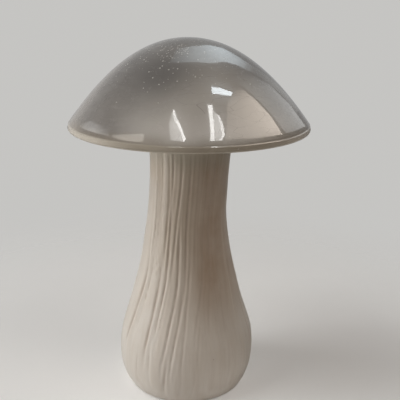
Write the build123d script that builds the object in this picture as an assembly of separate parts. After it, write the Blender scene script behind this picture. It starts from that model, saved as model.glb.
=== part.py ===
from build123d import *
from math import cos, exp, hypot, pi, sin
import os

# A two-piece glazed mushroom: a hollow ridged stem, a hollow cap that lifts off it,
# a soft ring between the two and soft pads under the foot.
# Millimetres, +Z up, origin on the stem's axis at the surface the mushroom stands on.

# Driving sizes of the stem
foot_radius = 42.0
bulb_radius = 50.0
bulb_height = 26.0
waist_radius = 27.9
waist_height = 150.0
mouth_flare = 3.6
stem_height = 197.5
stem_wall = 5.0
stem_floor = 6.0
mouth_edge = 1.5

# Driving sizes of the stem's bark relief
groove_count = 28
groove_depth = 1.1
smooth_foot_height = 4.0
smooth_neck_height = 20.0

# Driving sizes of the cap
cap_radius = 84.0
cap_height = 61.5
cap_wall = 5.0
lip_height = 4.8
lip_set_in = 1.0
lip_edge = 1.8
underside_rise = 6.0
seat_land_margin = 5.5
collar_length = 14.0
collar_wall = 4.2
collar_clearance = 1.0

# Driving sizes of the soft ring between cap and stem
ring_thickness = 1.5
ring_set_in = 0.5
ring_clearance = 0.6
ring_edge = 0.4

# Driving sizes of the pads and of the recess that they are glued in
recess_depth = 1.0
foot_ring_width = 6.0
pad_count = 3
pad_radius = 7.0
pad_proud = 0.5
pad_margin = 1.5
pad_edge = 0.3

# How far a cut runs past the face that it opens
overrun = 5.0

# Shape of the stem's outline between the driving sizes
foot_curl_power = 2.6
bulb_fall_power = 0.75
mouth_flare_power = 1.8
section_count = 16

# Shape of the bark relief, as shares of a groove's spacing and depth
groove_width_share = 0.24
groove_jitter_share = 0.3
groove_drift_share = 0.55
groove_depth_spread_share = 0.3
points_per_groove = 7

# Angles from one groove to the next that scatter its place, its drift and its depth
jitter_step_angle = 5.0
drift_step_angle = 3.0
depth_step_angle = 2.0

# Heights where the pieces meet
foot_height = pad_proud
mouth_height = foot_height + stem_height
seat_height = mouth_height + ring_thickness
lip_bottom_height = seat_height - underside_rise
crown_height = lip_bottom_height + cap_height
crease_height = lip_bottom_height + lip_height
crease_radius = cap_radius - lip_set_in

# Radii that fit one another at the mouth
mouth_radius = waist_radius + mouth_flare
mouth_bore_radius = waist_radius - stem_wall
mouth_rim_radius = mouth_radius - mouth_edge
seat_land_radius = mouth_radius + seat_land_margin
collar_radius = mouth_bore_radius - collar_clearance
collar_bore_radius = collar_radius - collar_wall


def stem_radius(height):
    """Radius of the stem's plain outline at a height above its foot."""
    if height < bulb_height:
        share = 1 - height / bulb_height
        return bulb_radius - (bulb_radius - foot_radius) * share**foot_curl_power
    if height < waist_height:
        share = (height - bulb_height) / (waist_height - bulb_height)
        fall = (1 + cos(pi * share**bulb_fall_power)) / 2
        return waist_radius + (bulb_radius - waist_radius) * fall
    share = (height - waist_height) / (stem_height - waist_height)
    return waist_radius + mouth_flare * share**mouth_flare_power


def relief_share(height):
    """How strong the bark relief is at a height: none at the foot and under the cap."""
    rise = min(max(height / smooth_foot_height - 1, 0), 1)
    fade = min(max((stem_height - height) / smooth_neck_height - 1, 0), 1)
    return min(rise, fade)


def bark_depth(turn, height):
    """Depth of the bark relief at a share of a turn round the stem."""
    depth = 0
    for groove in range(groove_count):
        jitter = groove_jitter_share * sin(jitter_step_angle * groove)
        fall = 1 - height / stem_height
        drift = groove_drift_share * fall * sin(drift_step_angle * groove)
        centre = (groove + jitter + drift) / groove_count
        away = (turn - centre + 1 / 2) % 1 - 1 / 2
        strength = 1 - groove_depth_spread_share * (1 + sin(depth_step_angle * groove))
        depth += strength * exp(-((away * groove_count / groove_width_share) ** 2) / 2)
    return groove_depth * relief_share(height) * depth


def section_heights():
    """Heights above the foot of the stem's sections, evenly spaced up to the mouth."""
    return [stem_height * step / (section_count - 1) for step in range(section_count)]


def ridged_section(height):
    """Closed section of the ridged stem at a height above its foot."""
    count = groove_count * points_per_groove
    turns = [step / count for step in range(count)]
    points = []
    for turn in turns:
        radius = stem_radius(height) - bark_depth(turn, height)
        points.append((radius * cos(2 * pi * turn), radius * sin(2 * pi * turn), foot_height + height))
    return make_face(Edge.make_spline(points, periodic=True, parameters=turns + [1]))


def mouth_bevel():
    """Ring that takes the sharp edge off the outside of the stem's mouth."""
    with BuildSketch(Plane.XZ) as outline:
        with BuildLine():
            Polyline(
                (mouth_rim_radius - overrun, mouth_height + overrun),
                (mouth_radius + overrun, mouth_height - mouth_edge - overrun),
                (mouth_radius + overrun, mouth_height + overrun),
                close=True,
            )
        make_face()
    return revolve(outline.sketch, Axis.Z)


def stem_cavity():
    """Smooth hollow of the stem, open at the mouth, one wall inside the outline."""
    bottom = foot_height + stem_floor
    floor_radius = stem_radius(stem_floor) - 2 * stem_wall
    neck_bottom = foot_height + waist_height
    wall_line = []
    for height in section_heights():
        if stem_floor + stem_wall < height < waist_height:
            wall_line.append((stem_radius(height) - stem_wall, foot_height + height))
    with BuildSketch(Plane.XZ) as outline:
        with BuildLine():
            Line((0, bottom), (floor_radius, bottom))
            Spline((floor_radius, bottom), *wall_line, (mouth_bore_radius, neck_bottom))
            Polyline(
                (mouth_bore_radius, neck_bottom),
                (mouth_bore_radius, mouth_height + overrun),
                (0, mouth_height + overrun),
                (0, bottom),
            )
        make_face()
    return revolve(outline.sketch, Axis.Z)


def foot_recess():
    """Shallow round recess inside the foot ring."""
    radius = foot_radius - foot_ring_width
    depth = recess_depth + overrun
    base = Plane.XY.offset(foot_height - overrun)
    return base * Cylinder(radius, depth, align=(Align.CENTER, Align.CENTER, Align.MIN))


def make_stem():
    """Hollow stem with ridged bark, a plain mouth and a foot ring."""
    outside = loft([ridged_section(height) for height in section_heights()])
    return outside - mouth_bevel() - stem_cavity() - foot_recess()


def cap_outside():
    """Outside of the cap: domed crown, turned lip and slightly hollow underside."""
    lip_round_height = lip_bottom_height + lip_edge
    lip_round_radius = cap_radius - lip_edge
    corner = lip_edge * cos(pi / 4)
    with BuildSketch(Plane.XZ) as outline:
        with BuildLine():
            Bezier((0, crown_height), (crease_radius / 2, crown_height), (crease_radius, crease_height))
            Line((crease_radius, crease_height), (cap_radius, lip_round_height))
            ThreePointArc(
                (cap_radius, lip_round_height),
                (lip_round_radius + corner, lip_round_height - corner),
                (lip_round_radius, lip_bottom_height),
            )
            Line((lip_round_radius, lip_bottom_height), (seat_land_radius, seat_height))
            Line((seat_land_radius, seat_height), (0, seat_height))
            Line((0, seat_height), (0, crown_height))
        make_face()
    return revolve(outline.sketch, Axis.Z)


def under_crown():
    """Space one wall inside the crown, carried down past the underside."""
    rise = crown_height - crease_height
    slope = 2 * rise / crease_radius
    edge_radius = crease_radius - cap_wall * hypot(1, slope) / slope
    top = crown_height - cap_wall
    bottom = lip_bottom_height - overrun
    with BuildSketch(Plane.XZ) as outline:
        with BuildLine():
            Bezier((0, top), (edge_radius / 2, top), (edge_radius, crease_height))
            Line((edge_radius, crease_height), (edge_radius, bottom))
            Line((edge_radius, bottom), (0, bottom))
            Line((0, bottom), (0, top))
        make_face()
    return revolve(outline.sketch, Axis.Z)


def above_underside():
    """Space one wall above the underside, carried up past the crown."""
    rim_radius = cap_radius - lip_edge
    rim_height = lip_bottom_height + cap_wall
    land_height = seat_height + cap_wall
    top = crown_height + overrun
    with BuildSketch(Plane.XZ) as outline:
        with BuildLine():
            Polyline(
                (0, land_height),
                (seat_land_radius, land_height),
                (rim_radius, rim_height),
                (rim_radius, top),
                (0, top),
                close=True,
            )
        make_face()
    return revolve(outline.sketch, Axis.Z)


def make_cap():
    """Hollow cap with the collar that drops into the stem's mouth."""
    cavity = under_crown() & above_underside()
    seat = Plane.XY.offset(seat_height)
    downwards = (Align.CENTER, Align.CENTER, Align.MAX)
    collar = seat * Cylinder(collar_radius, collar_length, align=downwards)
    collar_end = collar.edges().sort_by(Axis.Z)[0]
    collar = chamfer(collar_end, collar_clearance)
    bore_top = Plane.XY.offset(seat_height + cap_wall + overrun)
    bore_length = collar_length + cap_wall + 2 * overrun
    bore = bore_top * Cylinder(collar_bore_radius, bore_length, align=downwards)
    return (cap_outside() + collar) - cavity - bore


def make_cushion_ring():
    """Soft flat ring on the stem's rim, which the cap sits and turns on."""
    outer_radius = mouth_rim_radius - ring_set_in
    inner_radius = collar_radius + ring_clearance
    upwards = (Align.CENTER, Align.CENTER, Align.MIN)
    base = Plane.XY.offset(mouth_height)
    ring = base * Cylinder(outer_radius, ring_thickness, align=upwards)
    ring = fillet(ring.edges().filter_by(GeomType.CIRCLE), ring_edge)
    hole_base = Plane.XY.offset(mouth_height - overrun)
    return ring - hole_base * Cylinder(inner_radius, ring_thickness + 2 * overrun, align=upwards)


def make_foot_pads():
    """Round pads, spaced evenly just inside the foot ring."""
    circle_radius = foot_radius - foot_ring_width - pad_margin - pad_radius
    upwards = (Align.CENTER, Align.CENTER, Align.MIN)
    pad = Cylinder(pad_radius, pad_proud + recess_depth, align=upwards)
    pad = chamfer(pad.edges().sort_by(Axis.Z)[0], pad_edge)
    first = Plane.XY.rotated((0, 0, 90))
    pads = [first * place * pad for place in PolarLocations(circle_radius, pad_count)]
    return Compound(children=pads)


# One file for each separate piece
os.makedirs("parts", exist_ok=True)
export_step(make_stem(), "parts/stem.step")
export_step(make_cap(), "parts/cap.step")
export_step(make_cushion_ring(), "parts/cushion_ring.step")
export_step(make_foot_pads(), "parts/foot_pads.step")
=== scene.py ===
from math import cos, hypot, pi, sin

import bpy
import numpy as np
from mathutils import Matrix, Vector


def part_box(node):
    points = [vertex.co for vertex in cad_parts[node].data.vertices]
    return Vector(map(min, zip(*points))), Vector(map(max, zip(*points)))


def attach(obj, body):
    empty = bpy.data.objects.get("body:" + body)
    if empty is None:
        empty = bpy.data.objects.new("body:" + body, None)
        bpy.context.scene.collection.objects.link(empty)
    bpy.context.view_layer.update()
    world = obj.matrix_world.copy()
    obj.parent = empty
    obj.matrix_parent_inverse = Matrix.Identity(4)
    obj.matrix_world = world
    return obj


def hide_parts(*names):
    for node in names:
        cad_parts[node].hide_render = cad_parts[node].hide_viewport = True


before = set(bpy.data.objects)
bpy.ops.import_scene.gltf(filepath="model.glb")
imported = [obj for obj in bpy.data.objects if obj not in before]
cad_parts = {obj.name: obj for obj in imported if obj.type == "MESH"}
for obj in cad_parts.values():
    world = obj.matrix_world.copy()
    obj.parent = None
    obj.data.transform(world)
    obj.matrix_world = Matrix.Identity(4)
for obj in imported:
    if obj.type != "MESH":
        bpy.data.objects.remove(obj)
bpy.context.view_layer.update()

MM = 0.001

# Places read from the frame, in metres
stem_low, stem_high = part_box("stem")
_, cap_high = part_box("cap")
ring_low, ring_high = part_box("cushion_ring")
pads_low, pads_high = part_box("foot_pads")
foot_height = stem_low.z
mouth_height = stem_high.z
stem_height = mouth_height - foot_height
seat_height = ring_high.z
crown_height = cap_high.z
cap_radius = cap_high.x

# Outline of the stem
foot_radius = 42 * MM
bulb_radius = 50 * MM
bulb_height = 26 * MM
waist_radius = 27.9 * MM
waist_height = 150 * MM
mouth_flare = 3.6 * MM
mouth_radius = waist_radius + mouth_flare
mouth_edge = 1.5 * MM
stem_wall = 5 * MM
stem_floor = 6 * MM
recess_depth = 1 * MM
foot_ring_width = 6 * MM
foot_edge = 0.9 * MM
recess_top = foot_height + recess_depth
floor_height = foot_height + stem_floor
bore_radius = waist_radius - stem_wall
foot_curl_power = 2.6
bulb_fall_power = 0.75
mouth_flare_power = 1.8

# How the hand-poured stem strays from its plain outline, reckoned from places of its edges that were measured
# in the photograph, the right edge by a scan for the sharpest change, the left one on enlargements: (height,
# shift of its middle to the right, growth of its radius), all in mm
stem_strays = (
    (0, -0.6, 0.7), (10, -1.3, -0.2), (26, -0.9, -0.1), (40, -0.8, 0.9), (64, -1.4, -0.5), (86, -1.1, -0.6),
    (116, -1.5, -0.2), (132, -1.3, -0.3), (148, -0.3, 0.2), (175, 0.7, -0.4), (197.5, 0, 0),
)
stray_reach = 5.0 * MM

# Outline of the cap
lip_height = 4.8 * MM
lip_set_in = 1 * MM
lip_edge = 1.8 * MM
crease_edge = 0.7 * MM
underside_rise = 6 * MM
cap_wall = 5 * MM
seat_land_radius = mouth_radius + 5.5 * MM
collar_length = 14 * MM
collar_radius = bore_radius - 1 * MM
collar_bore_radius = collar_radius - 4.2 * MM
collar_edge = 1 * MM
bore_edge = 0.8 * MM
lip_bottom_height = seat_height - underside_rise
crease_height = lip_bottom_height + lip_height
crease_radius = cap_radius - lip_set_in
land_top = seat_height + cap_wall
inner_top = crown_height - cap_wall
crown_power = 2.07
crown_lean = 1 * MM
top_dip = 0.02 * MM

# How finely the two cast pieces are meshed, and how many rings of the foot's edge the glaze covers
stem_turns = 360
stem_rings = 205
foot_glaze_rings = 3
cap_turns = 320
cap_rings = 120

# The camera that matches the photograph: tilt and roll in radians, lens and sensor in mm,
# the photograph's width in pixels
camera_place = Vector((8.11 * MM, -484.47 * MM, 287.84 * MM))
camera_pitch = 0.2958
camera_roll = 0.013
camera_lens = 63.06
sensor_width = 36.0
photo_size = 400


def smooth(start, end, value):
    """Smooth step from 0 at start to 1 at end, whichever is higher, for numbers and arrays."""
    share = np.clip((value - start) / (end - start), 0, 1)
    return share * share * (3 - 2 * share)


def add_piece(name, data):
    """New object in the scene that shows a mesh, a camera or a lamp."""
    piece = bpy.data.objects.new(name, data)
    bpy.context.scene.collection.objects.link(piece)
    return piece


def grid_mesh(name, rings, start=None, end=None):
    """Closed skin through rings of points: the ends meet centre points, or one another without those."""
    count, turns = rings.shape[:2]
    points = rings.reshape(-1, 3).tolist()
    numbers = np.arange(count * turns).reshape(count, turns)
    if start is None:
        numbers = np.vstack([numbers, numbers[:1]])
    beside = np.roll(numbers, -1, axis=1)
    faces = np.stack([numbers[:-1], beside[:-1], beside[1:], numbers[1:]], axis=2).reshape(-1, 4).tolist()
    if start is not None:
        centre = np.full(turns, count * turns)
        faces += np.stack([centre, beside[0], numbers[0]], axis=1).tolist()
        faces += np.stack([centre + 1, numbers[-1], beside[-1]], axis=1).tolist()
        points += [start, end]
    mesh = bpy.data.meshes.new(name)
    mesh.from_pydata(points, [], faces)
    mesh.polygons.foreach_set("use_smooth", [True] * len(mesh.polygons))
    mesh.update()
    return add_piece(name, mesh)


def turn_angles(count):
    """Evenly spaced angles round a full turn."""
    return 2 * pi * np.arange(count) / count


def rings_round(radii, heights, turns):
    """Rings of points about the Z axis, from a column of heights and a column or table of radii."""
    angles = turn_angles(turns)
    return np.stack([radii * np.sin(angles), -radii * np.cos(angles), heights + 0 * angles], axis=2)


def turned_rings(profile, turns):
    """Rings of points for an outline of (radius, height) pairs turned about the Z axis."""
    radii, heights = np.array(profile).T[:, :, None]
    return rings_round(radii, heights, turns)


def polar(points):
    """Distances from the Z axis and angles round it from the front, for an array of points."""
    return np.hypot(points[..., 0], points[..., 1]), np.arctan2(points[..., 0], -points[..., 1])


def arc(centre, radius, start, end, steps):
    """Points of an arc in an outline, angles in degrees from the outward direction towards up."""
    angles = np.radians(np.linspace(start, end, steps + 1))
    return [(centre[0] + radius * cos(angle), centre[1] + radius * sin(angle)) for angle in angles]


def line(start, end, steps):
    """Evenly spaced points from start up to, but without, end."""
    wider, higher = end[0] - start[0], end[1] - start[1]
    shares = [step / steps for step in range(steps)]
    return [(start[0] + wider * share, start[1] + higher * share) for share in shares]


def rounded_side(start, outer, low, high, edge, flat_steps, edge_steps, side_steps):
    """Outline of a flat round piece: out over its top, down its rounded side and back under it."""
    outline = line((start, high), (outer - edge, high), flat_steps)
    outline += arc((outer - edge, high - edge), edge, 90, 0, edge_steps)
    outline += line((outer, high - edge), (outer, low + edge), side_steps)[1:]
    outline += arc((outer - edge, low + edge), edge, 0, -90, edge_steps)
    return outline + line((outer - edge, low), (start, low), flat_steps)[1:]


# Grooves of the bark as (strength, width in mm, path), read off a picture of the photograph's stem unrolled
# flat.
# A path's points are degrees round from the front, to the right, and per cent of the stem's height.
# A strength below zero stands for a broad rib.
front_grooves = (
    (0.45, 0.9, ((-54, 93), (-55, 84), (-56, 76), (-57, 70), (-56, 62), (-55, 54), (-54.5, 46))),
    (1.60, 1.4, ((-54.5, 48), (-56, 41), (-58.5, 34.5), (-60.5, 28.5), (-64.5, 20))),
    (0.35, 0.7, ((-49, 75), (-48, 66), (-49, 57), (-50, 50), (-51, 40), (-53, 31))),
    (0.50, 0.9, ((-38.5, 93), (-39, 84), (-39.5, 77), (-41, 70), (-41, 60))),
    (0.35, 0.7, ((-44, 92), (-44.5, 80), (-45, 69))),
    (0.40, 0.7, ((-36, 72), (-36.5, 63), (-37, 55))),
    (0.70, 0.9, ((-27.5, 90), (-27, 82), (-26.5, 74), (-27, 66), (-27.5, 60), (-29, 52))),
    (0.85, 1.0, ((-21, 94), (-21.5, 86), (-22, 80), (-23.5, 73))),
    (1.00, 0.9, ((-21.5, 70), (-22, 60), (-22.5, 52), (-23.5, 45), (-25.5, 37), (-28, 28))),
    (1.00, 1.0, ((-31.5, 49), (-32.5, 41), (-33.5, 34), (-35, 27), (-37, 19))),
    (0.65, 0.8, ((-9, 90), (-10, 80), (-12, 72), (-13.5, 64), (-15, 57), (-17, 47))),
    (0.95, 0.9, ((-8.5, 62), (-8.7, 52), (-9.5, 44), (-11.5, 37), (-14.5, 30), (-17, 23), (-20, 15))),
    (0.50, 0.9, ((3.5, 90), (2.5, 80), (1.5, 72), (1, 62), (0, 52), (-1.5, 43), (-3.5, 35))),
    (0.80, 0.9, ((-4, 39), (-6, 31), (-9, 25), (-11, 19), (-13, 12))),
    (0.42, 0.8, ((7, 57), (4.5, 47), (2, 38), (0.5, 31), (-1.5, 24), (-3.5, 16))),
    (0.38, 0.9, ((25, 66), (22.5, 53), (19, 44), (15.5, 38), (12, 32), (9, 26), (7, 18))),
    (0.40, 0.8, ((28, 94), (27, 84), (26.5, 76), (26, 68))),
    (0.30, 0.8, ((10, 93), (9, 82), (7.5, 70), (6, 62))),
    (0.35, 0.9, ((35, 74), (33, 56), (30, 46), (26, 38), (23, 28))),
    (0.35, 1.0, ((46, 62), (43, 42), (40.5, 34), (38, 24))),
    (0.30, 1.0, ((54, 66), (52, 48), (50, 38), (46, 28))),
    (0.35, 1.0, ((65, 80), (64, 62), (62, 40), (57, 24))),
    (0.80, 1.0, ((-31.5, 20), (-31.5, 13), (-31, 6))),
    (0.50, 0.9, ((-44, 22), (-45, 14), (-45.5, 7))),
    (0.60, 0.9, ((-15.5, 17), (-17, 10), (-18, 4))),
    (0.35, 0.9, ((-55, 24), (-56, 15), (-56, 8))),
    (0.30, 0.8, ((-2, 19), (-3, 12), (-3.5, 6))),
    (0.30, 0.8, ((17, 37), (13, 27), (10.5, 18))),
    (0.40, 0.9, ((-70, 86), (-71, 70), (-72, 55), (-75, 40), (-80, 25))),
    (0.30, 0.8, ((-16, 93), (-16.5, 82), (-17.5, 70))),
    (0.40, 0.8, ((-45.5, 48), (-47.5, 38), (-50, 30), (-53, 22))),
    (0.35, 0.8, ((-20.5, 42), (-23, 32), (-26, 24), (-28, 16))),
    (0.30, 0.8, ((40, 93), (39.5, 80), (38, 68))),
    (0.30, 0.8, ((16, 88), (15, 76), (13.5, 64), (11, 52))),
    (-0.70, 2.2, ((-34, 94), (-33.5, 80), (-33, 70), (-32, 58))),
    (-0.50, 1.2, ((-52, 90), (-51, 70), (-50.5, 50), (-52, 38), (-56, 28), (-60, 20))),
)

# The grooves' depth, their run-out, and the two ridges beside each as shares of its depth and width;
# the corners of a path are eased over path_reach, a share of the stem's height
groove_depth = 0.54 * MM
groove_taper = 15.0 * MM
ridge_height_share = 0.38
ridge_width_share = 1.15
far_ridge_height_share = 0.4
far_ridge_width_share = 1.5
ridge_offset_share = 1.9
path_reach = 0.02


def eased(places, known_places, values, reach):
    """Values at places, read off straight stretches between the known ones and eased over a reach."""
    return sum(np.interp(places + step * reach, known_places, values) for step in (-1, 0, 0, 1)) / 4


def back_grooves(random):
    """Grooves for the sides that the photograph doesn't show, in the same terms as the front ones."""
    grooves = []
    angle = 80.0
    while angle < 282:
        top = random.uniform(0.62, 0.93)
        upper_stretch = (top, top - random.uniform(0.22, 0.38))
        lower_stretch = (random.uniform(0.46, 0.60), random.uniform(0.10, 0.26))
        for upper, lower in (upper_stretch, lower_stretch):
            if random.uniform() < 0.18:
                continue
            lean = random.uniform(14, 34) * (upper - lower)
            wave = random.uniform(-1.5, 1.5)
            here = angle + random.uniform(-2, 2) - 10 * (0.6 - upper)
            path = tuple(
                (here - lean * share + wave * sin(pi * share), 100 * (upper + (lower - upper) * share))
                for share in (0, 0.33, 0.66, 1)
            )
            grooves.append((random.uniform(0.4, 0.95), random.uniform(0.8, 1.1), path))
        angle += random.uniform(5.5, 10)
    return grooves


def waves(u, v, terms, seed):
    """Sum of a few sine waves over two arrays, each (waves round, waves up, size), phases from the seed."""
    random = np.random.default_rng(seed)
    total = 0
    for across, along, size in terms:
        total = total + size * np.sin(across * u + along * v + random.uniform(0, 2 * pi))
    return total


def stem_stray(heights):
    """Shift of the stem's middle and growth of its radius at heights, in metres."""
    places, shifts, growths = (np.array(column) * MM for column in zip(*stem_strays))
    return eased(heights, places, shifts, stray_reach), eased(heights, places, growths, stray_reach)


def bark_relief(angles, shares, radii):
    """How far the bark sinks below the plain outline, in metres; less than zero where a ridge stands up."""
    turn = np.degrees(angles)[None, :]
    sunk = np.zeros((len(shares), len(angles)))
    grooves = [*front_grooves, *back_grooves(np.random.default_rng(11))]
    taper = groove_taper / stem_height
    for number, (strength, width_mm, path) in enumerate(grooves):
        width = width_mm * MM
        path_places, path_degrees = zip(*sorted((percent / 100, angle) for angle, percent in path))
        bottom, top = path_places[0], path_places[-1]
        along = smooth(bottom - taper, bottom + taper, shares) * smooth(top + taper, top - taper, shares)
        ripple = 0.16 * np.sin(shares * 47 + number * 1.7) + 0.08 * np.sin(shares * 143 + number * 2.9)
        along = along * (1 + ripple)
        centre = eased(shares, path_places, path_degrees, path_reach)[:, None]
        away = (turn - centre + 180) % 360 - 180
        across = np.radians(away) * radii[:, None] / width
        groove = np.exp(-(across**2))
        ridge = np.exp(-(((across - ridge_offset_share) / ridge_width_share) ** 2))
        far_ridge = np.exp(-(((across + ridge_offset_share) / far_ridge_width_share) ** 2))
        shape = groove - ridge_height_share * (ridge + far_ridge_height_share * far_ridge)
        sunk += groove_depth * strength * along[:, None] * shape
    return sunk


# Fine streaks of the bark, and the broad swells under them
streak_depth = 0.13 * MM
broad_depth = 0.12 * MM


def fine_streaks(u, v):
    """Shallow upright streaks over the whole bark, in metres, at angles u and shares of the height v."""
    swept = u - 0.34 * v - 0.05 * np.sin(5.5 * v + 2 * u)
    terms = ((31, 3, 0.30), (47, -4, 0.30), (67, 6, 0.24), (83, 4, 0.2), (109, -7, 0.14), (139, 9, 0.09))
    streaks = waves(swept, v, terms, seed=5)
    broad = waves(swept, v, ((9, 3, 0.5), (14, -4, 0.5), (21, 5, 0.4)), seed=8)
    gate = 0.55 + 0.45 * np.sin(3 * u + 7 * v + 1.0) * np.sin(5 * u - 4 * v + 2.0)
    return streak_depth * streaks * gate + broad_depth * broad


# Knots in the bark: degrees round from the front, share of the stem's height, half width in degrees,
# half height as a share, strength
knot_places = (
    (-38, 0.5, 6, 0.045, 1), (-45, 0.62, 5, 0.05, 0.6), (-36, 0.72, 5, 0.07, 0.5),
    (-46, 0.38, 4, 0.05, 0.6), (-52, 0.8, 5, 0.06, 0.4), (150, 0.52, 7, 0.05, 0.9),
    (205, 0.63, 6, 0.06, 0.7), (100, 0.42, 6, 0.05, 0.6), (-110, 0.55, 6, 0.06, 0.7),
)
knot_depth = 0.32 * MM


def knots(u, v):
    """Small wrinkles and knots in the bark left of the middle and on the far sides, in metres."""
    creases = waves(u, v, ((52, 170, 0.5), (-38, 150, 0.45), (75, 95, 0.4), (23, 230, 0.25)), seed=17)
    window = np.zeros_like(u)
    for angle, share, across, along, strength in knot_places:
        away = (np.degrees(u) - angle + 180) % 360 - 180
        window += strength * np.exp(-((away / across) ** 2) - ((v - share) / along) ** 2)
    return knot_depth * creases * window


def stem_radius(height):
    """Radius of the stem's plain outline at a height above its foot."""
    if height < bulb_height:
        share = 1 - height / bulb_height
        return bulb_radius - (bulb_radius - foot_radius) * share**foot_curl_power
    if height < waist_height:
        share = (height - bulb_height) / (waist_height - bulb_height)
        fall = (1 + cos(pi * share**bulb_fall_power)) / 2
        return waist_radius + (bulb_radius - waist_radius) * fall
    share = (height - waist_height) / (stem_height - waist_height)
    return waist_radius + mouth_flare * share**mouth_flare_power


# Shares of the stem's height over which the bark grows out of the plain foot and dies away under the cap
bark_start, bark_full = 0.012, 0.06
bark_fade, bark_end = 0.90, 0.965


def stem_outer_rings():
    """Outside of the stem with its bark, from the foot's edge to the mouth's, and how deep the bark is."""
    heights = np.linspace(foot_edge, stem_height - mouth_edge, stem_rings)
    shift, growth = stem_stray(heights)
    radii = np.array([stem_radius(height) for height in heights]) + growth
    angles = turn_angles(stem_turns)
    shares = heights / stem_height
    u, v = np.meshgrid(angles, shares)
    relief = bark_relief(angles, shares, radii) + fine_streaks(u, v) + knots(u, v)
    fade = smooth(bark_start, bark_full, shares) * smooth(bark_end, bark_fade, shares)
    sunk = fade[:, None] * relief
    rings = rings_round(radii[:, None] - sunk, (foot_height + heights)[:, None], stem_turns)
    rings[:, :, 0] += shift[:, None]
    return rings, sunk


def stem_under_rings():
    """Underside of the stem: recess, foot ring and the foot's rounded edge, which strays like the bark."""
    inner = foot_radius - foot_ring_width
    outline = line((0.3 * inner, recess_top), (inner - foot_edge, recess_top), 6)
    outline += arc((inner - foot_edge, recess_top - foot_edge), foot_edge, 90, 0, 3)[:-1]
    outline += [(inner, foot_height + 0.5 * foot_edge), (inner + 0.5 * foot_edge, foot_height)]
    outline += line((inner + foot_edge, foot_height), (foot_radius - foot_edge, foot_height), 4)
    shift, growth = stem_stray(np.array([foot_edge]))
    edge_radius = stem_radius(foot_edge) + growth[0]
    outline += arc((edge_radius - foot_edge, foot_height + foot_edge), foot_edge, -90, 0, 5)[:-1]
    radii = np.array(outline)[:, 0]
    rings = turned_rings(outline, stem_turns)
    rings[:, :, 0] += shift * smooth(inner, foot_radius - foot_edge, radii)[:, None]
    return rings


def stem_rim_line():
    """Rounded rim of the stem's mouth, from the outside in."""
    outer, inner = mouth_radius - mouth_edge, bore_radius + mouth_edge
    outline = arc((outer, mouth_height - mouth_edge), mouth_edge, 15, 90, 5)
    outline += line((outer, mouth_height), (inner, mouth_height), 4)[1:]
    return outline + arc((inner, mouth_height - mouth_edge), mouth_edge, 90, 180, 4)


def stem_hollow_line():
    """Wall and floor of the stem's cast hollow, from the mouth down."""
    floor_radius = stem_radius(stem_floor) - 2 * stem_wall
    wall = [
        (stem_radius(min(height, waist_height)) - stem_wall, foot_height + height)
        for height in stem_height * np.linspace(0.97, 0.06, 22)
    ]
    corner = (floor_radius + 0.62 * stem_wall, floor_height + 0.45 * stem_wall)
    return wall + [corner] + [(share * floor_radius, floor_height) for share in (1, 0.6, 0.2)]


def make_stem():
    """The stem: foot ring, bark, mouth and the cast hollow inside, as one closed skin."""
    under = stem_under_rings()
    outer, sunk = stem_outer_rings()
    rim = stem_rim_line()
    rings = np.concatenate([under, outer, turned_rings(rim + stem_hollow_line(), stem_turns)])
    piece = grid_mesh("glazed_stem", rings, (0, 0, recess_top), (0, 0, floor_height))
    depths = np.zeros(len(piece.data.vertices))
    first = len(under) * stem_turns
    depths[first:first + sunk.size] = sunk.ravel() / MM
    piece.data.attributes.new("bark_depth", "FLOAT", "POINT").data.foreach_set("value", depths)
    glaze_start = len(under) - foot_glaze_rings
    outside_end = len(under) + stem_rings + len(rim)
    give_materials(piece, stem_turns, len(rings), (
        (bare_clay(), 0, glaze_start),
        (cream_glaze(), glaze_start, outside_end),
        (thin_inner_glaze(), outside_end, len(rings)),
    ))
    return piece


def crown_line(radius):
    """Height of the outside of the crown at a radius."""
    return crown_height - (crown_height - crease_height) * (radius / crease_radius) ** crown_power


def cap_outer_line():
    """Crown, crease and lip of the cap, from the top out and down to its lowest edge."""
    crown_radii = crease_radius * np.linspace(0.012, 1 - crease_edge / crease_radius, cap_rings) ** 0.92
    outline = [(radius, crown_line(radius)) for radius in crown_radii]
    outline.append((crease_radius - 0.05 * crease_edge, crease_height + 0.075 * crease_edge))
    outline.append((crease_radius + 0.175 * crease_edge, crease_height - 0.6 * crease_edge))
    shoulder = (cap_radius, lip_bottom_height + lip_edge)
    outline += line((crease_radius + 0.6 * lip_set_in, crease_height - 0.55 * lip_set_in), shoulder, 4)
    return outline + arc((cap_radius - lip_edge, lip_bottom_height + lip_edge), lip_edge, 0, -90, 8)


def collar_line():
    """Seat, collar and its bore, from the underside of the cap in, down and up into the hollow."""
    bottom = seat_height - collar_length
    bore = collar_bore_radius
    outline = line((seat_land_radius, seat_height), (collar_radius + collar_edge, seat_height), 4)
    outline.append((collar_radius + 0.3 * collar_edge, seat_height - 0.3 * collar_edge))
    bevel_top, bevel_bottom = (collar_radius, bottom + collar_edge), (collar_radius - collar_edge, bottom)
    outline += line((collar_radius, seat_height - collar_edge), bevel_top, 6)
    outline += line(bevel_top, bevel_bottom, 3) + [bevel_bottom, (bore + bore_edge, bottom)]
    outline += arc((bore + bore_edge, bottom + bore_edge), bore_edge, -90, -180, 3)[1:]
    outline += line((bore, bottom + 2 * bore_edge), (bore, land_top - bore_edge), 6)
    return outline + arc((bore + bore_edge, land_top - bore_edge), bore_edge, 180, 90, 3)


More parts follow.
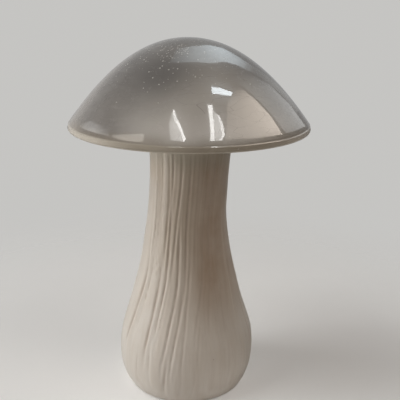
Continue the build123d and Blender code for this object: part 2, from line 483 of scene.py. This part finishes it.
def cap_hollow_line():
    """Floor and roof of the hollow under the crown, from the bore out and back in to the axis."""
    slope = 2 * (crown_height - crease_height) / crease_radius
    inner_radius = crease_radius - cap_wall * hypot(1, slope) / slope
    rim_radius = inner_radius - 1.6 * cap_wall
    sink = (land_top - lip_bottom_height - cap_wall) / (cap_radius - lip_edge - seat_land_radius)
    rim = (rim_radius, land_top - sink * (rim_radius - seat_land_radius))
    land = (seat_land_radius, land_top)
    outline = line((collar_bore_radius + 3 * bore_edge, land_top), land, 5) + line(land, rim, 8)
    rise = inner_top - crease_height
    shares = np.linspace(0.965, 0.02, 22)
    return outline + [(inner_radius * share, inner_top - rise * share**2) for share in shares]


def make_cap():
    """The cap: crown, lip, underside, collar and the cast hollow inside, as one closed skin."""
    outer = cap_outer_line()
    under = line((cap_radius - lip_edge, lip_bottom_height), (seat_land_radius, seat_height), 34)[1:]
    rings = turned_rings(outer + under + collar_line() + cap_hollow_line(), cap_turns)
    glazed_end = len(outer) + len(under)
    soften_crown(rings[:len(outer)])
    press_gills(rings[len(outer):glazed_end])
    piece = grid_mesh("glazed_cap", rings, (-crown_lean, 0, crown_height - top_dip), (0, 0, inner_top))
    give_materials(piece, cap_turns, len(rings), (
        (grey_glaze(), 0, glazed_end),
        (bare_clay(), glazed_end, len(rings)),
    ))
    return piece


# Hand-finished surface of the crown and of the lip's upper edge
crown_wave_depth = 0.10 * MM
lip_wave_depth = 0.16 * MM


def soften_crown(crown):
    """Leans the crown's top a little and gives its surface faint waves."""
    radius, angle = polar(crown)
    share = np.clip(radius / crease_radius, 0, 1)
    terms = ((2, 5, 0.5), (3, -6, 0.35), (5, 8, 0.25), (8, 11, 0.1), (1, 9, 0.4))
    wave = waves(angle, share, terms, seed=3) * smooth(0.05, 0.3, share) * smooth(1, 0.9, share)
    crown[:, :, 0] -= crown_lean * smooth(1, 0, share)
    crown[:, :, 2] -= crown_wave_depth * (1 + wave) * smooth(0.02, 0.3, share) * smooth(1, 0.9, share)
    lip = smooth(0.985, 0.999, radius / crease_radius) * (radius / crease_radius < 1.02)
    uneven = waves(angle, share * 0, ((3, 0, 0.5), (7, 0, 0.4), (11, 0, 0.3), (19, 0, 0.15)), seed=9)
    crown[:, :, 2] -= lip_wave_depth * (1 + uneven) * lip * (crown[:, :, 2] > lip_bottom_height + lip_edge)


# Gills under the cap, and the radii between which they start and end
gill_count = 64
gill_depth = 0.55 * MM
gill_start, gill_full = seat_land_radius + 2 * MM, seat_land_radius + 8 * MM
gill_fade, gill_end = cap_radius - 9 * MM, cap_radius - 3 * MM


def press_gills(under):
    """Shallow radial gills under the cap, fading out at the lip and before the seat."""
    radius, angle = polar(under)
    fade = smooth(gill_start, gill_full, radius) * smooth(gill_end, gill_fade, radius)
    wander = 0.5 * np.sin(3 * angle + 90 * radius) + 0.3 * np.sin(7 * angle)
    gill = np.abs(np.sin(gill_count / 2 * angle + wander)) ** 0.8
    under[:, :, 2] += gill_depth * fade * (1 - gill)


# The soft ring and the felt pads
ring_rounding = 0.55 * MM
ring_clearance = 0.6 * MM
ring_ripple = 0.05 * MM
ring_turns = 160
pad_radius = 7 * MM
pad_core = 0.12 * pad_radius
pad_count = 3
pad_turns = 72
felt_edge = 0.35 * MM
felt_fuzz = 0.09 * MM


def make_soft_ring():
    """The soft ring between cap and stem: moulded, with rounded edges and a slightly wavy outside."""
    inner, outer = collar_radius + ring_clearance, ring_high.x
    low, high = ring_low.z + ring_rounding, ring_high.z - ring_rounding
    bend = inner + ring_rounding
    profile = rounded_side(bend, outer, ring_low.z, ring_high.z, ring_rounding, 6, 5, 2)
    profile += arc((bend, low), ring_rounding, -90, -180, 5)
    profile += line((inner, low), (inner, high), 2)[1:]
    profile += arc((bend, high), ring_rounding, 180, 90, 5)[:-1]
    rings = turned_rings(profile, ring_turns)
    radius, angle = polar(rings)
    ripple = ring_ripple * (np.sin(9 * angle) + 0.6 * np.sin(23 * angle + 1) - 1.6)
    scale = 1 + ripple * smooth(0.95 * outer, outer, radius) / radius
    rings[:, :, :2] *= scale[:, :, None]
    piece = grid_mesh("moulded_soft_ring", rings)
    piece.data.materials.append(soft_silicone())
    return piece


def make_felt_pad(number, centre_x, centre_y):
    """One round felt pad with a soft, slightly fuzzy edge."""
    low, high = pads_low.z, pads_high.z
    rings = turned_rings(rounded_side(pad_core, pad_radius, low, high, felt_edge, 12, 4, 5), pad_turns)
    radius, angle = polar(rings)
    terms = ((17, 3, 0.4), (29, -5, 0.35), (31, 7, 0.3))
    fuzz = waves(angle, rings[:, :, 2] / MM, terms, seed=20 + number)
    scale = 1 - felt_fuzz * (1.05 + fuzz) * smooth(0.9 * pad_radius, pad_radius, radius) / radius
    rings[:, :, :2] = rings[:, :, :2] * scale[:, :, None] + (centre_x, centre_y)
    piece = grid_mesh(f"felt_pad_{number + 1}", rings, (centre_x, centre_y, high), (centre_x, centre_y, low))
    piece.data.materials.append(pressed_felt())
    return piece


def give_materials(piece, turns, ring_total, parts):
    """Gives a turned skin its materials: each part is (material, first ring, ring after its last).

    After the last ring of faces come those round the first centre point, then those round the other."""
    rings_of = np.arange(len(piece.data.polygons)) // turns
    index = np.full(len(rings_of), len(parts) - 1)
    for number, (material, first, after) in enumerate(parts):
        piece.data.materials.append(material)
        index[(rings_of >= first) & (rings_of < min(after, ring_total - 1))] = number
    index[rings_of == ring_total - 1] = 0
    piece.data.polygons.foreach_set("material_index", index.tolist())


def feed(item, inputs):
    """Sets a node's inputs: a value is a number, a place, a colour's three parts or another node's output."""
    for name, value in inputs.items():
        socket = item.inputs[name]
        if isinstance(value, bpy.types.NodeSocket):
            item.id_data.links.new(value, socket)
        else:
            socket.default_value = (*value, 1) if socket.type == "RGBA" else value


def node(tree, kind, inputs=None, **settings):
    """Adds a shader node with its settings and inputs."""
    item = tree.nodes.new("ShaderNode" + kind)
    for name, value in settings.items():
        setattr(item, name, value)
    feed(item, inputs or {})
    return item


def maths(operation, first, second):
    """Output of an operation on an output and a second value."""
    return node(first.id_data, "Math", {0: first, 1: second}, operation=operation).outputs[0]


def times(first, second):
    """Output of first times second."""
    return maths("MULTIPLY", first, second)


def away_from(place, centre):
    """Distance of a place from a point."""
    return node(place.id_data, "VectorMath", {0: place, 1: centre}, operation="DISTANCE").outputs["Value"]


def axes_of(place):
    """Outputs X, Y and Z of a place."""
    return node(place.id_data, "SeparateXYZ", {"Vector": place}).outputs


def cells(place, scale):
    """Distance from the middle of the nearest scattered cell, and two chance numbers of that cell."""
    cell = node(place.id_data, "TexVoronoi", {"Vector": place, "Scale": scale}).outputs
    chance = node(place.id_data, "SeparateColor", {"Color": cell["Color"]}).outputs
    return cell["Distance"], chance[0], chance[1]


def spread(value, low, high, to_low=0.0, to_high=1.0):
    """Output that goes smoothly from to_low to to_high as value goes from low to high."""
    inputs = {"Value": value, "From Min": low, "From Max": high, "To Min": to_low, "To Max": to_high}
    return node(value.id_data, "MapRange", inputs, interpolation_type="SMOOTHSTEP").outputs["Result"]


def blend(factor, first, second):
    """Output colour between two colours or colour outputs."""
    return node(factor.id_data, "Mix", {0: factor, 6: first, 7: second}, data_type="RGBA").outputs[2]


def tint(body, factor, amount, colour):
    """Body colour with another colour laid over it by factor times amount."""
    return blend(times(factor, amount), body, colour)


def lay(body, value, low, high, amount, colour):
    """Body colour with another laid over it, from nothing at low up to an amount at high."""
    return blend(spread(value, low, high, 0.0, amount), body, colour)


def noise(place, scale, detail=3.0, rough=0.55, distortion=0.0):
    """Noise value at a place."""
    inputs = {"Vector": place, "Scale": scale, "Detail": detail, "Roughness": rough, "Distortion": distortion}
    return node(place.id_data, "TexNoise", inputs).outputs["Fac"]


def stretched(place, size):
    """Place with each axis multiplied by size."""
    return node(place.id_data, "Mapping", {"Vector": place, "Scale": size}).outputs[0]


def bump(height, depth, under=None):
    """Normal with a height map of a given depth in metres laid over it."""
    inputs = {"Height": height, "Distance": depth}
    if under is not None:
        inputs["Normal"] = under
    return node(height.id_data, "Bump", inputs).outputs[0]


def start_material(name):
    """New node material, its shader and the piece's own coordinates."""
    material = bpy.data.materials.new(name)
    material.use_nodes = True
    place = node(material.node_tree, "TexCoord").outputs["Object"]
    return material, material.node_tree.nodes["Principled BSDF"], place


# Stretches, to the right of the axis or up from the floor, over which painted shade and painted light change
# the cream glaze's colour
shaded_brown_across, shaded_brown_heights = (-4 * MM, 16 * MM), (48 * MM, 100 * MM)
lit_left_across, lit_left_heights = (-12 * MM, -26 * MM), (168 * MM, 150 * MM)
bounce_lit_across, bounce_lit_heights = (-4 * MM, 26 * MM), (42 * MM, 16 * MM)
under_cap_shade_heights = (160 * MM, 182 * MM)


def cream_glaze():
    """Glossy cream glaze that pools darker in grooves, breaks paler on ridges, with painted shade and light
    laid on.
    """
    material, shader, place = start_material("cream_glaze")
    depth = node(material.node_tree, "Attribute", attribute_name="bark_depth").outputs["Fac"]
    cloud = noise(place, 24, 4)
    drips = noise(stretched(place, (190, 190, 14)), 1, 3)
    fine = noise(stretched(place, (420, 420, 60)), 1, 2)
    axes = axes_of(place)
    across, height = axes["X"], axes["Z"]

    # Painted shade: waist under the cap, right side, olive under the cap; painted light: left side, low right
    # Darker and warmer at the waist than at the bulb: painted shade under the cap
    lower = spread(height, waist_height, bulb_height)
    body = blend(lower, (0.49, 0.415, 0.325), (0.74, 0.7, 0.65))
    # Painted shade: warm brown down the right of the neck and upper bulb
    shaded_brown = times(spread(across, *shaded_brown_across), spread(height, *shaded_brown_heights))
    body = tint(body, shaded_brown, 0.85, (0.365, 0.243, 0.152))
    # Painted light: paler on the left of the neck where the lamp falls
    paler = times(spread(across, *lit_left_across), spread(height, *lit_left_heights))
    body = tint(body, paler, 0.45, (0.74, 0.72, 0.68))
    # Painted light: paler low on the right of the bulb, where light bounces up from the floor
    bounce_lit = times(spread(across, *bounce_lit_across), spread(height, *bounce_lit_heights))
    body = blend(bounce_lit, body, (0.93, 0.9, 0.86))
    # Painted shade: olive darkening of the neck under the cap
    body = lay(body, height, *under_cap_shade_heights, 0.72, (0.315, 0.3, 0.235))

    # Clouds and runs, pools in the grooves, thin places on the ridges
    body = lay(body, cloud, 0.3, 0.7, 0.4, (0.74, 0.69, 0.62))
    body = lay(body, drips, 0.35, 0.75, 0.35, (0.6, 0.53, 0.455))
    body = lay(body, depth, 0.05, 0.6, 0.55, (0.4, 0.32, 0.26))
    body = lay(body, depth, -0.05, -0.3, 0.45, (0.77, 0.715, 0.64))

    # A few small brown specks
    away, chance, _ = cells(place, 210)
    speck = times(maths("LESS_THAN", chance, 0.05), spread(away, 0.1, 0.05))
    body = tint(body, speck, 0.5, (0.33, 0.26, 0.19))

    normal = bump(fine, 0.05 * MM, bump(drips, 0.22 * MM))
    normal = bump(noise(place, 330, 2), 0.03 * MM, normal)
    feed(shader, {
        "Base Color": body, "Roughness": spread(cloud, 0.3, 0.7, 0.3, 0.4), "Normal": normal,
        "IOR": 1.5, "Coat Weight": 0.35, "Coat Roughness": 0.16,
    })
    return material


def thin_inner_glaze():
    """Thin, duller cream glaze inside the stem, with drip lines."""
    material, shader, place = start_material("thin_inner_glaze")
    cloud = noise(place, 40, 4)
    drips = noise(stretched(place, (120, 120, 9)), 1, 3)
    body = blend(spread(cloud, 0.3, 0.7), (0.56, 0.5, 0.42), (0.66, 0.6, 0.52))
    body = lay(body, drips, 0.45, 0.8, 0.5, (0.7, 0.66, 0.6))
    normal = bump(drips, 0.2 * MM)
    rough = spread(cloud, 0.3, 0.7, 0.42, 0.6)
    feed(shader, {"Base Color": body, "Roughness": rough, "Normal": normal, "IOR": 1.5})
    return material


def bare_clay():
    """Unglazed fired earthenware with fine grog and wiping marks."""
    material, shader, place = start_material("bare_clay")
    cloud = noise(place, 60, 5)
    grain = noise(place, 1400)
    body = blend(spread(cloud, 0.3, 0.7), (0.6, 0.53, 0.45), (0.68, 0.62, 0.54))
    body = lay(body, grain, 0.55, 0.8, 0.5, (0.45, 0.38, 0.31))
    normal = bump(cloud, 0.25 * MM, bump(grain, 0.06 * MM))
    rough = spread(cloud, 0.3, 0.7, 0.82, 0.92)
    feed(shader, {"Base Color": body, "Roughness": rough, "Normal": normal, "IOR": 1.45})
    return material


# Places on the crown where the grey glaze changes or where painted light, shade and reflection lie, and
# stretches over which they do
bubble_centre = (-10 * MM, -27 * MM, 249 * MM)
bubble_dense_reach = 7 * MM
bubble_far_reach = 54 * MM
dark_reflection_centre = (-18 * MM, -44 * MM, 236 * MM)
dark_reflection_reach = 39 * MM
lit_front_depths, lit_front_across = (-14 * MM, -66 * MM), (-52 * MM, -2 * MM)
low_crown_heights = (crown_height - 12 * MM, crease_height)
lit_low_front_heights = (crease_height + 20 * MM, crease_height + 7 * MM)
near_lip_heights = (crease_height + 6.5 * MM, crease_height - 0.5 * MM)
lip_heights = (crease_height + 0.3 * MM, crease_height - 0.8 * MM)
lip_edge_highlight_heights = (lip_bottom_height + 1.3 * MM, lip_bottom_height + 0.5 * MM)
lip_lit_left, lip_lit_right = (-15 * MM, -64 * MM), (44 * MM, 72 * MM)
lip_wander = 1.6 * MM
crack_warp = 16 * MM
crack_heights = (lip_bottom_height + 2 * MM, crease_height)


def hairline_cracks(place, height):
    """Thin lines of crazing, flat and long, that show in patches above the lip."""
    tree = place.id_data
    warp = node(tree, "TexNoise", {"Vector": place, "Scale": 26, "Detail": 3}).outputs["Color"]
    shift = node(tree, "VectorMath", {0: warp, 1: (0.5, 0.5, 0.5)}, operation="SUBTRACT").outputs[0]
    shift = node(tree, "VectorMath", {0: shift, "Scale": crack_warp}, operation="SCALE").outputs[0]
    warped = node(tree, "VectorMath", {0: place, 1: shift}, operation="ADD").outputs[0]
    inputs = {"Vector": stretched(warped, (1, 1, 6.5)), "Scale": 44}
    edges = node(tree, "TexVoronoi", inputs, feature="DISTANCE_TO_EDGE").outputs["Distance"]
    shown = spread(noise(place, 30, 2), 0.46, 0.6)
    crack = times(spread(edges, 0.011, 0.002), shown)
    return times(crack, spread(height, *crack_heights))


def burst_bubbles(place):
    """Pale specks and small rings, dense near the top on the left and thinner round it."""
    away = away_from(place, bubble_centre)
    dense = spread(away, bubble_dense_reach, 1.9 * bubble_dense_reach, 0.7, 0)
    thin = spread(away, 0.2 * bubble_far_reach, bubble_far_reach, 0.22, 0.006)
    crowd = maths("ADD", dense, thin)
    off_middle, chance, size_chance = cells(place, 720)
    dot = maths("LESS_THAN", off_middle, spread(size_chance, 0, 1, 0.14, 0.36))
    speck = times(dot, maths("LESS_THAN", chance, crowd))
    off_middle, chance, _ = cells(place, 150)
    band = times(spread(off_middle, 0.1, 0.14), spread(off_middle, 0.2, 0.16))
    ring = times(band, maths("LESS_THAN", chance, times(crowd, 0.5)))
    return speck, ring


def grey_glaze():
    """High-gloss grey glaze with hairline crazing and burst bubbles, breaking to cream at the lip."""
    material, shader, place = start_material("grey_glaze")
    cloud = noise(place, 17, 4)
    fine = noise(place, 160, 5, 0.65)
    streaks = noise(stretched(place, (60, 60, 420)), 1, 4)
    axes = axes_of(place)
    across, height = axes["X"], axes["Z"]
    body = blend(spread(cloud, 0.32, 0.68), (0.15, 0.139, 0.129), (0.205, 0.193, 0.18))
    body = lay(body, fine, 0.4, 0.75, 0.55, (0.112, 0.103, 0.095))
    body = lay(body, streaks, 0.5, 0.75, 0.5, (0.27, 0.26, 0.245))

    # Paler and warmer low on the crown; paler in front and more so low in front, as painted light
    body = lay(body, height, *low_crown_heights, 0.25, (0.27, 0.25, 0.228))
    # Painted light on the front of the crown
    front = times(spread(axes["Y"], *lit_front_depths), spread(across, *lit_front_across))
    body = tint(body, front, 0.84, (0.5, 0.475, 0.44))
    lit_low_front = times(front, spread(height, *lit_low_front_heights))
    body = tint(body, lit_low_front, 0.55, (0.62, 0.6, 0.57))

    # A painted dark reflection in front of the top, on its left
    away = away_from(place, dark_reflection_centre)
    body = lay(body, away, dark_reflection_reach, 0.1 * dark_reflection_reach, 0.8, (0.074, 0.069, 0.065))

    # The break from grey to cream round the lip, with painted shade and light on the lip
    wander = spread(noise(place, 45), 0.2, 0.8, -lip_wander, lip_wander)
    edge = maths("ADD", height, wander)
    body = lay(body, edge, *near_lip_heights, 0.6, (0.27, 0.235, 0.185))
    # Painted shade: the lip's cream glaze darkened to olive-brown
    lip = blend(spread(cloud, 0.35, 0.65), (0.285, 0.247, 0.192), (0.405, 0.366, 0.3))
    # Painted light: the lip paler at its left and far right
    lip = lay(lip, across, *lip_lit_left, 0.8, (0.56, 0.52, 0.45))
    lip = lay(lip, across, *lip_lit_right, 0.75, (0.58, 0.53, 0.46))
    body = blend(spread(height, *lip_heights), body, lip)
    # Painted highlight along the lip's lowest edge
    body = lay(body, height, *lip_edge_highlight_heights, 1, (0.58, 0.53, 0.45))

    crack = hairline_cracks(place, height)
    speck, ring = burst_bubbles(place)
    body = tint(body, crack, 0.42, (0.075, 0.066, 0.058))
    body = tint(body, speck, 0.85, (0.62, 0.61, 0.58))
    body = tint(body, ring, 0.5, (0.5, 0.49, 0.46))
    relief = maths("SUBTRACT", times(speck, 0.8), crack)
    normal = bump(relief, 0.02 * MM, bump(noise(place, 120, 2), 0.03 * MM))
    feed(shader, {
        "Base Color": body, "Roughness": spread(fine, 0.3, 0.7, 0.16, 0.3), "Normal": normal,
        "IOR": 1.5, "Specular IOR Level": 0.25, "Coat Weight": 1, "Coat Roughness": 0.02,
    })
    return material


def soft_silicone():
    """Milky silicone with faint mould marks."""
    material, shader, place = start_material("soft_silicone")
    cloud = noise(place, 90)
    grain = noise(place, 900, 2)
    body = blend(spread(cloud, 0.3, 0.7), (0.7, 0.685, 0.65), (0.77, 0.755, 0.72))
    normal = bump(grain, 0.03 * MM)
    feed(shader, {
        "Base Color": body, "Roughness": spread(cloud, 0.3, 0.7, 0.48, 0.6), "Normal": normal,
        "IOR": 1.41, "Subsurface Weight": 0.15, "Subsurface Scale": 2 * MM,
    })
    return material


def pressed_felt():
    """Brown pressed felt with matted fibres."""
    material, shader, place = start_material("pressed_felt")
    fibres = noise(stretched(place, (900, 2600, 1500)), 1, 5, 0.7, 1.2)
    cloud = noise(place, 200, 4)
    body = blend(spread(cloud, 0.3, 0.7), (0.115, 0.083, 0.058), (0.175, 0.13, 0.092))
    body = lay(body, fibres, 0.55, 0.8, 0.6, (0.27, 0.21, 0.155))
    normal = bump(fibres, 0.18 * MM)
    feed(shader, {
        "Base Color": body, "Roughness": 0.95, "Normal": normal, "Sheen Weight": 0.35, "Sheen Roughness": 0.5,
    })
    return material


stem_piece = make_stem()
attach(stem_piece, "stem_body")
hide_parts("stem")

cap_piece = make_cap()
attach(cap_piece, "cap_body")
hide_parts("cap")

ring_piece = make_soft_ring()
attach(ring_piece, "ring_body")
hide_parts("cushion_ring")

for number in range(pad_count):
    turn = 2 * pi * number / pad_count
    circle = pads_high.y - pad_radius
    pad = make_felt_pad(number, -circle * sin(turn), circle * cos(turn))
    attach(pad, "stem_body")
    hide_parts("foot_pads")


def camera_axes():
    """Right, up and backward directions of the photograph's camera."""
    sin_p, cos_p = sin(camera_pitch), cos(camera_pitch)
    sin_r, cos_r = sin(camera_roll), cos(camera_roll)
    right = Vector((cos_r, sin_r * sin_p, sin_r * cos_p))
    up = Vector((-sin_r, cos_r * sin_p, cos_r * cos_p))
    back = Vector((0, -cos_p, sin_p))
    return right, up, back


def make_camera():
    """Camera at the photograph's place and angle."""
    right, up, back = camera_axes()
    data = bpy.data.cameras.new("camera")
    data.lens = camera_lens
    data.sensor_width = sensor_width
    data.clip_start = 0.01
    data.clip_end = 50
    camera = add_piece("camera", data)
    turn = Matrix((right, up, back)).transposed().to_4x4()
    camera.matrix_world = Matrix.Translation(camera_place) @ turn
    bpy.context.scene.camera = camera


make_camera()


# How the crown is looked for along a sight line: first distance from the camera, step, number of steps
sight_start = 0.36
sight_step = 1 * MM
sight_steps = 300


def mirrored(px, py):
    """Where the sight line through a pixel of the photograph meets the crown, and its mirrored direction."""
    right, up, back = camera_axes()
    reach = camera_lens / sensor_width * photo_size
    half = photo_size / 2
    sight = (right * ((px - half) / reach) - up * ((py - half) / reach) - back).normalized()

    def inside(distance):
        """Whether the sight line is under the crown's surface at a distance."""
        point = camera_place + sight * distance
        radius = hypot(point.x, point.y)
        return radius < crease_radius and point.z <= crown_line(radius)

    tries = (sight_start + sight_step * step for step in range(sight_steps))
    far = next(distance for distance in tries if inside(distance))
    near = far - sight_step
    for _ in range(30):
        middle = (near + far) / 2
        near, far = (near, middle) if inside(middle) else (middle, far)
    point = camera_place + sight * far
    radius = hypot(point.x, point.y)
    steepness = crown_power * (crown_height - crease_height) / crease_radius
    slope = steepness * (radius / crease_radius) ** (crown_power - 1)
    normal = Vector((slope * point.x / radius, slope * point.y / radius, 1)).normalized()
    return point, sight - 2 * sight.dot(normal) * normal


def along_path(path, share):
    """Point at a share of the way along a path of pixels, its stretches counted alike."""
    place = share * (len(path) - 1)
    return [np.interp(place, range(len(path)), column) for column in zip(*path)]


# The panels' distance from the crown, how finely they are meshed and their usual colours
card_distance = 1.4
card_columns = 14
card_rows = 7
cool_white = (0.86, 0.95, 1)
plain_white = (1, 1, 0.98)


def glow_material(name, colour, strength):
    """Shines as much as the mesh's glow says and is clear otherwise."""
    material = bpy.data.materials.new(name)
    material.use_nodes = True
    tree = material.node_tree
    tree.nodes.clear()
    solid = node(tree, "Attribute", attribute_name="glow").outputs["Fac"]
    light = node(tree, "Emission", {"Color": colour, "Strength": strength}).outputs[0]
    clear = node(tree, "BsdfTransparent").outputs[0]
    mixed = node(tree, "MixShader", {0: solid, 1: clear, 2: light}).outputs[0]
    node(tree, "OutputMaterial", {"Surface": mixed})
    return material


def light_card(name, first, second, strength, colour=plain_white, glow=(1, 1), ends=(1, 1)):
    """A soft studio panel where the crown mirrors the band between two paths of pixels of the photograph.

    glow says how solid the panel is at the first path and at the second, ends how solid at either end."""
    points, shine = [], []
    for row in range(card_rows + 1):
        across = row / card_rows
        solid = glow[0] + (glow[1] - glow[0]) * across
        for column in range(card_columns + 1):
            share = column / card_columns
            x0, y0 = along_path(first, share)
            x1, y1 = along_path(second, share)
            place, direction = mirrored(x0 + (x1 - x0) * across, y0 + (y1 - y0) * across)
            points.append(tuple(place + direction * card_distance))
            end = ends[0] if share < 0.5 else ends[1]
            shine.append(solid * (end + (1 - end) * sin(pi * share)))
    width = card_columns + 1
    corners = [row * width + column for row in range(card_rows) for column in range(card_columns)]
    faces = [(corner, corner + 1, corner + width + 1, corner + width) for corner in corners]
    mesh = bpy.data.meshes.new(name)
    mesh.from_pydata(points, [], faces)
    mesh.attributes.new("glow", "FLOAT", "POINT").data.foreach_set("value", shine)
    mesh.materials.append(glow_material(name, colour, strength))
    card = add_piece(name, mesh)
    card.visible_camera = False
    card.visible_diffuse = False
    card.visible_shadow = False
    card.visible_transmission = False


light_card(
    "window_panel",
    first=((170, 63), (192, 61.5), (213, 63), (225, 61), (239, 65), (252, 72)),
    second=((178, 49), (192, 46), (209, 44.5), (224, 48), (240, 57), (254, 67)),
    strength=3.1, colour=cool_white, glow=(1, 0.45), ends=(0.15, 0),
)
light_card(
    "window_tail",
    first=((244, 67), (262, 78), (274, 87), (284, 97), (296, 112)),
    second=((246, 60.5), (265, 73.5), (276.5, 83.5), (286.5, 94), (298.5, 110)),
    strength=0.62, glow=(0.9, 0.5), ends=(0.7, 0.4),
)
light_card(
    "small_lamp",
    first=((212, 87), (222, 88.2), (233, 92)),
    second=((212.6, 93.6), (221, 94.3), (231, 95.4)),
    strength=13, colour=cool_white,
)
light_card(
    "left_strip",
    first=((173, 110), (174, 120), (179.5, 128.5), (183, 136), (182.2, 141)),
    second=((174.6, 110), (177, 119), (182.4, 128), (185.6, 136), (184.6, 141.4)),
    strength=14,
)
light_card(
    "left_strip_glow",
    first=((172, 112), (169, 124), (170, 132), (170.5, 138.5)),
    second=((174, 113), (178, 125), (182, 132), (183, 140.5)),
    strength=6, glow=(0.5, 0.9),
)
light_card(
    "right_strip",
    first=((207.8, 105), (209.4, 116), (210.4, 128), (210, 140)),
    second=((212.6, 105), (213.2, 116), (214.4, 128), (214.2, 140)),
    strength=13,
)
light_card(
    "right_strip_far",
    first=((217.2, 115), (220.4, 124), (221.8, 133), (218.4, 139)),
    second=((219.2, 115), (223, 124), (224.6, 133), (221.6, 139)),
    strength=11,
)
light_card(
    "right_strip_glow",
    first=((213.2, 110), (213.8, 118), (214.8, 128), (214.6, 139)),
    second=((217.2, 114), (220, 123), (221.4, 132), (218.8, 139)),
    strength=6.5, glow=(0.8, 0.8),
)
light_card(
    "warm_panel",
    first=((243, 88.5), (255, 98.5), (269.5, 114), (284, 136)),
    second=((234, 91), (227, 104), (227, 121), (225, 138)),
    strength=4.6, colour=(1, 0.89, 0.78), glow=(1, 0.35), ends=(0.3, 1),
)
light_card(
    "cool_panel",
    first=((246, 70), (270, 84), (290.5, 105), (306, 127)),
    second=((234, 79), (250, 91), (269, 110.5), (288, 135.5)),
    strength=1.4, colour=(0.96, 0.97, 0.96), glow=(0.65, 1), ends=(0, 1),
)
light_card(
    "paper_band",
    first=((113, 133.5), (129, 133), (145, 132.5)),
    second=((112, 138.5), (127, 141.3), (142.5, 143)),
    strength=4, colour=(1, 0.93, 0.84), glow=(0.7, 1), ends=(0.6, 1),
)
light_card(
    "left_sheen",
    first=((80, 124), (92, 119), (110, 127)),
    second=((84, 132), (95, 135.5), (109, 138)),
    strength=3.2, glow=(0.2, 1), ends=(0.3, 0.2),
)


backdrop_colour = (0.56, 0.555, 0.54)

# The floor: half its side, how far it lights the object, and how the camera sees it lifted and thinned out
floor_half = 6
floor_reach = 2.2
seen_lift = 0.55
seen_floor_start = 0.1
seen_floor_reach = 0.45
seen_floor_thinness = 0.3


def make_floor():
    """Plain pale floor that fades into the backdrop's colour far from the object."""
    corners = ((-1, -1), (1, -1), (1, 1), (-1, 1))
    mesh = bpy.data.meshes.new("floor")
    mesh.from_pydata([(floor_half * x, floor_half * y, 0) for x, y in corners], [], [(0, 1, 2, 3)])
    floor = add_piece("floor", mesh)
    material, shader, place = start_material("floor_paper")
    tree = material.node_tree
    fibre = noise(place, 500)
    colour = blend(spread(fibre, 0.3, 0.7), (0.79, 0.79, 0.78), (0.81, 0.81, 0.8))
    seen = node(tree, "LightPath").outputs["Is Camera Ray"]
    colour = tint(colour, seen, seen_lift, (1.6, 1.62, 1.66))
    feed(shader, {"Base Color": colour, "Roughness": 0.85, "Specular IOR Level": 0.2})
    away = away_from(place, (0, 0, 0))
    lit_fade = spread(away, 0.35 * floor_reach, floor_reach)
    seen_fade = spread(away, seen_floor_start, seen_floor_reach, seen_floor_thinness, 1)
    fade = node(tree, "Mix", {0: seen, 2: lit_fade, 3: seen_fade}).outputs[0]
    clear = node(tree, "BsdfTransparent").outputs[0]
    mixed = node(tree, "MixShader", {0: fade, 1: shader.outputs[0], 2: clear}).outputs[0]
    tree.links.new(mixed, tree.nodes["Material Output"].inputs["Surface"])
    mesh.materials.append(material)


def make_world():
    """Pale backdrop for the camera, and a soft room for light and reflections that is dimmer on the right."""
    world = bpy.data.worlds.new("studio")
    bpy.context.scene.world = world
    world.use_nodes = True
    tree = world.node_tree
    tree.nodes.clear()
    axes = axes_of(node(tree, "TexCoord").outputs["Generated"])
    front = spread(axes["Y"], 0.2, -0.8)
    room = blend(front, (0.04, 0.035, 0.03), (0.11, 0.065, 0.045))

    # What the glaze mirrors: left to right, then behind, overhead and low on the left
    mirror = blend(spread(axes["X"], -0.2, 0.8), (0.36, 0.35, 0.345), (0.22, 0.215, 0.21))
    behind = times(spread(axes["Y"], 0.25, 0.7), spread(axes["X"], 0.6, 0.1))
    mirror = blend(behind, mirror, (0.4, 0.4, 0.4))
    mirror = lay(mirror, axes["Z"], 0.45, 0.85, 1, (0.55, 0.54, 0.53))
    low_left = times(spread(axes["Z"], 0.42, 0.1), spread(axes["X"], 0.1, -0.8))
    mirror = blend(low_left, mirror, (0.62, 0.59, 0.56))
    ambient, shine, pale = (
        node(tree, "Background", {"Color": colour}).outputs[0] for colour in (room, mirror, backdrop_colour)
    )
    path = node(tree, "LightPath").outputs
    lit = node(tree, "MixShader", {0: path["Is Glossy Ray"], 1: ambient, 2: shine}).outputs[0]
    seen = maths("MAXIMUM", path["Is Camera Ray"], path["Is Transmission Ray"])
    shown = node(tree, "MixShader", {0: seen, 1: lit, 2: pale}).outputs[0]
    node(tree, "OutputWorld", {"Surface": shown})


lamp_aim = Vector((0, 0, 0.11))


def make_lamp(name, place, size, power, colour):
    """Square soft lamp at a place, pointed at the middle of the stem, that isn't mirrored in the glaze."""
    data = bpy.data.lights.new(name, "AREA")
    data.energy = power
    data.size = size
    data.color = colour
    lamp = add_piece(name, data)
    lamp.location = place
    lamp.rotation_euler = (lamp_aim - Vector(place)).to_track_quat("-Z", "Y").to_euler()
    lamp.visible_glossy = False


make_floor()
make_world()
make_lamp("key", place=(-1.5, -0.05, 0.37), size=0.8, power=10.3, colour=(1, 0.98, 0.97))
make_lamp("high_left", place=(-0.9, -0.25, 1.3), size=0.8, power=7.4, colour=(1, 1, 0.95))
make_lamp("high_right", place=(0.9, -0.5, 1.3), size=1, power=5.2, colour=(1, 0.95, 0.87))
make_lamp("fill", place=(-1.5, -0.6, 0.4), size=1.2, power=2, colour=(1, 1, 0.96))

bpy.context.scene.view_settings.view_transform = "Standard"
